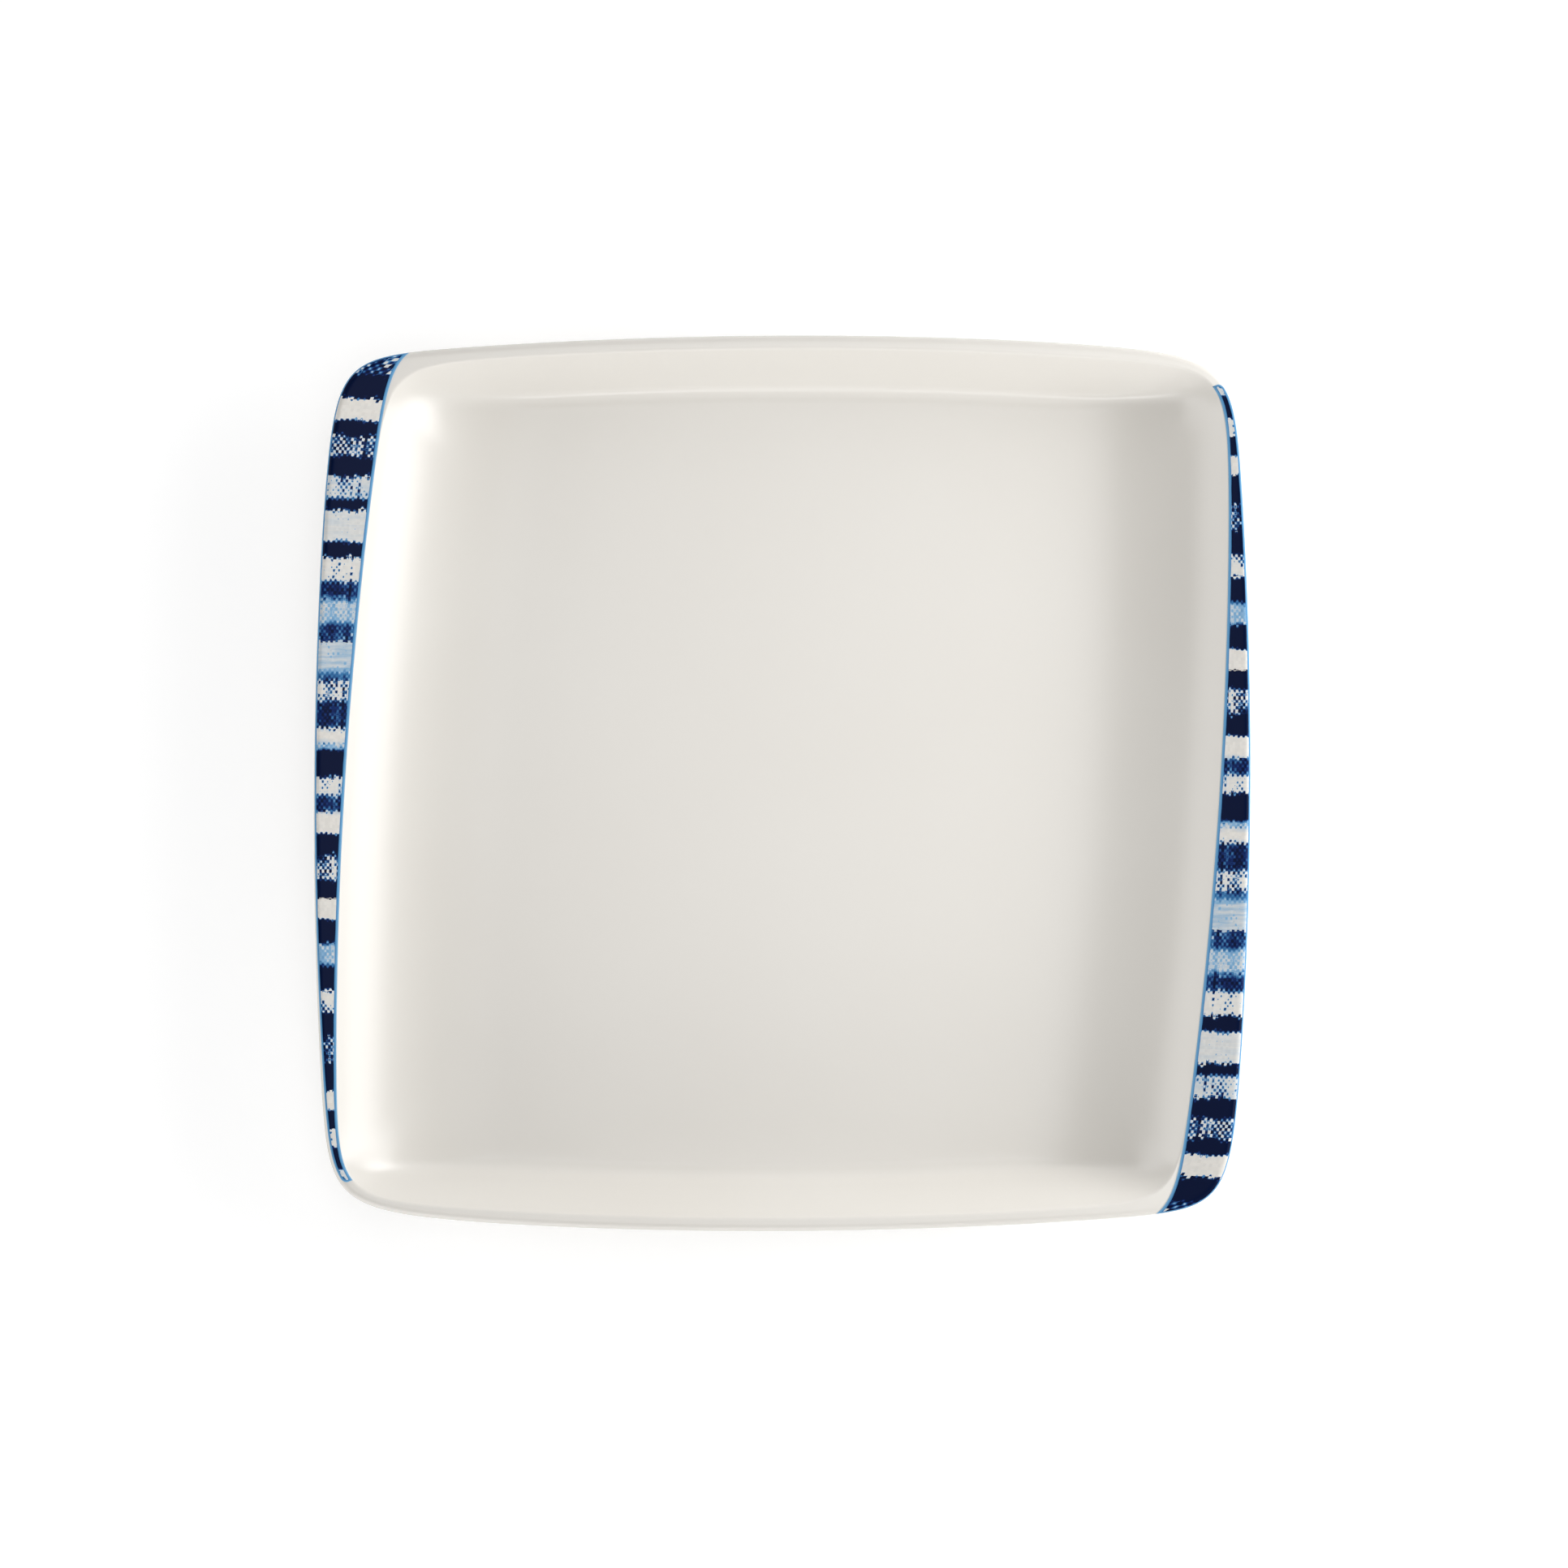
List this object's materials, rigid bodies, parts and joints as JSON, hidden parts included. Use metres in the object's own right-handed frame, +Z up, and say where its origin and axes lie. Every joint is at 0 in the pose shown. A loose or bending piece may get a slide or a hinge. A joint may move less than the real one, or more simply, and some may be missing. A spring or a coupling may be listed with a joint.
{
  "type": "square plate",
  "caption": "Bulged square porcelain plate with a coved well and crescent side rims that carry a printed indigo woven-stripe border.",
  "frame": {"origin": "centre of the plane that the foot ring stands on", "axes": "+X from the left border to the right border, +Y from the near end to the far end, +Z up out of the well"},
  "size_m": [0.27, 0.258, 0.0265],
  "materials": {
    "biscuit": "unglazed fired porcelain, fine and matte",
    "glaze": "clear gloss glaze over warm white porcelain",
    "indigo_print": "indigo and cream ink fused on the glaze, glossy"
  },
  "bodies": {
    "root": {"porcelain_body": "biscuit", "glaze_coat": "glaze", "underside_glaze": "glaze", "left_border_transfer": "indigo_print", "right_border_transfer": "indigo_print"}
  },
  "joints": []
}
